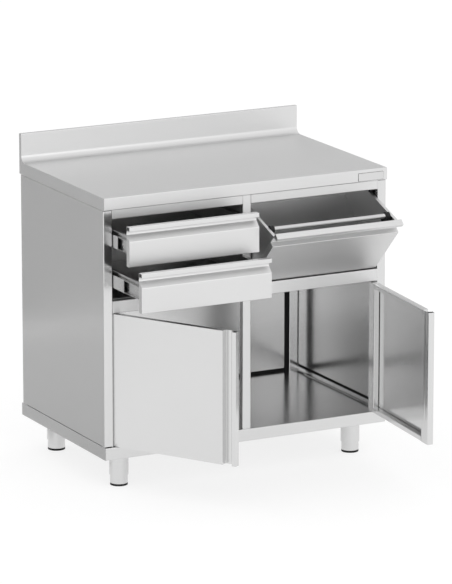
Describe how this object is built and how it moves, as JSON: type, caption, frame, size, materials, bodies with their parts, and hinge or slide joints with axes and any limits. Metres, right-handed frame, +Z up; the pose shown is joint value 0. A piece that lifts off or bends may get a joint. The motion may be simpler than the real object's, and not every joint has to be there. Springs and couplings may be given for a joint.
{
  "type": "coffee machine cabinet",
  "caption": "Stainless-steel bar cabinet on levelling feet: worktop with rear upstand, drawers, tilting knock-out hopper and a hinged-door cupboard, shown open.",
  "frame": {"origin": "on the floor, under the middle of the box round the rest pose with drawers, hopper and doors open", "axes": "+Z up, out of the worktop; -Y out of the front, towards the user; +X to the user's right"},
  "size_m": [1, 1.0516, 1.037],
  "materials": {
    "satin_steel": "satin-polished stainless sheet, fine even grain",
    "structure_steel": "folded stainless and zinc-plated steel, dull",
    "black_rubber": "matt black moulded rubber",
    "black_plastic": "black moulded nylon"
  },
  "bodies": {
    "cabinet": {"worktop": "satin_steel", "worktop_stiffeners": "structure_steel", "side_panel_left": "satin_steel", "side_panel_right": "satin_steel", "front_post_left": "structure_steel", "front_post_right": "structure_steel", "rear_post_left": "structure_steel", "rear_post_right": "structure_steel", "centre_post": "satin_steel", "top_rail": "satin_steel", "mid_rail": "satin_steel", "back_rails": "structure_steel", "back_panel": "satin_steel", "inner_back_panel": "satin_steel", "dust_shelf": "satin_steel", "base_tray": "satin_steel", "foot_channels": "structure_steel", "foot_sleeves": "satin_steel", "centre_divider": "satin_steel", "drawer_side_plate": "satin_steel", "door_bushes": "black_plastic", "door_catches": "black_plastic", "hopper_bushes": "black_plastic", "hopper_buffers": "black_rubber", "runner_fixed_upper": "structure_steel", "runner_fixed_lower": "structure_steel"},
    "runner_middle_upper": {"runner_middle_upper": "structure_steel"},
    "drawer_upper": {"drawer_front_upper": "satin_steel", "drawer_box_upper": "satin_steel", "runner_inner_upper": "structure_steel", "runner_screws_upper": "structure_steel"},
    "runner_middle_lower": {"runner_middle_lower": "structure_steel"},
    "drawer_lower": {"drawer_front_lower": "satin_steel", "drawer_box_lower": "satin_steel", "runner_inner_lower": "structure_steel", "runner_screws_lower": "structure_steel"},
    "hopper": {"hopper_front": "satin_steel", "hopper_floor": "satin_steel", "hopper_side_left": "satin_steel", "hopper_side_right": "satin_steel", "hopper_pins": "satin_steel", "knock_bar": "satin_steel", "knock_bar_holders": "black_rubber"},
    "door_left": {"door_skin_left": "satin_steel", "door_borders_left": "satin_steel", "door_pivots_left": "satin_steel"},
    "door_right": {"door_skin_right": "satin_steel", "door_borders_right": "satin_steel", "door_pivots_right": "satin_steel"},
    "foot_front_left": {"foot_leg_front_left": "satin_steel", "foot_pad_front_left": "black_rubber"},
    "foot_front_right": {"foot_leg_front_right": "satin_steel", "foot_pad_front_right": "black_rubber"},
    "foot_rear_left": {"foot_leg_rear_left": "satin_steel", "foot_pad_rear_left": "black_rubber"},
    "foot_rear_right": {"foot_leg_rear_right": "satin_steel", "foot_pad_rear_right": "black_rubber"}
  },
  "joints": [
    {"name": "drawer_upper_slide", "type": "slide", "parent": "cabinet", "child": "drawer_upper", "axis": [0, -1, 0], "range_m": [-0.116, 0.334]},
    {"name": "runner_upper_slide", "type": "slide", "parent": "cabinet", "child": "runner_middle_upper", "axis": [0, -1, 0], "range_m": [-0.058, 0.167]},
    {"name": "drawer_lower_slide", "type": "slide", "parent": "cabinet", "child": "drawer_lower", "axis": [0, -1, 0], "range_m": [-0.2, 0.25]},
    {"name": "runner_lower_slide", "type": "slide", "parent": "cabinet", "child": "runner_middle_lower", "axis": [0, -1, 0], "range_m": [-0.1, 0.125]},
    {"name": "hopper_tilt", "type": "hinge", "parent": "cabinet", "child": "hopper", "pos_m": [0.2425, -0.08121, 0.626], "axis": [1, 0, 0], "range_deg": [-45, 0]},
    {"name": "door_left_hinge", "type": "hinge", "parent": "cabinet", "child": "door_left", "pos_m": [-0.4625, -0.08221, 0.36], "axis": [0, 0, -1], "range_deg": [-59, 46]},
    {"name": "door_right_hinge", "type": "hinge", "parent": "cabinet", "child": "door_right", "pos_m": [0.4625, -0.08221, 0.36], "axis": [0, 0, 1], "range_deg": [-85, 20]},
    {"name": "foot_front_left_screw", "type": "slide", "parent": "cabinet", "child": "foot_front_left", "axis": [0, 0, -1], "range_m": [-0.015, 0.025]},
    {"name": "foot_front_right_screw", "type": "slide", "parent": "cabinet", "child": "foot_front_right", "axis": [0, 0, -1], "range_m": [-0.015, 0.025]},
    {"name": "foot_rear_left_screw", "type": "slide", "parent": "cabinet", "child": "foot_rear_left", "axis": [0, 0, -1], "range_m": [-0.015, 0.025]},
    {"name": "foot_rear_right_screw", "type": "slide", "parent": "cabinet", "child": "foot_rear_right", "axis": [0, 0, -1], "range_m": [-0.015, 0.025]}
  ],
  "couplings": [
    {"joint": "runner_upper_slide", "follows": "drawer_upper_slide", "ratio": 0.5},
    {"joint": "runner_lower_slide", "follows": "drawer_lower_slide", "ratio": 0.5}
  ]
}
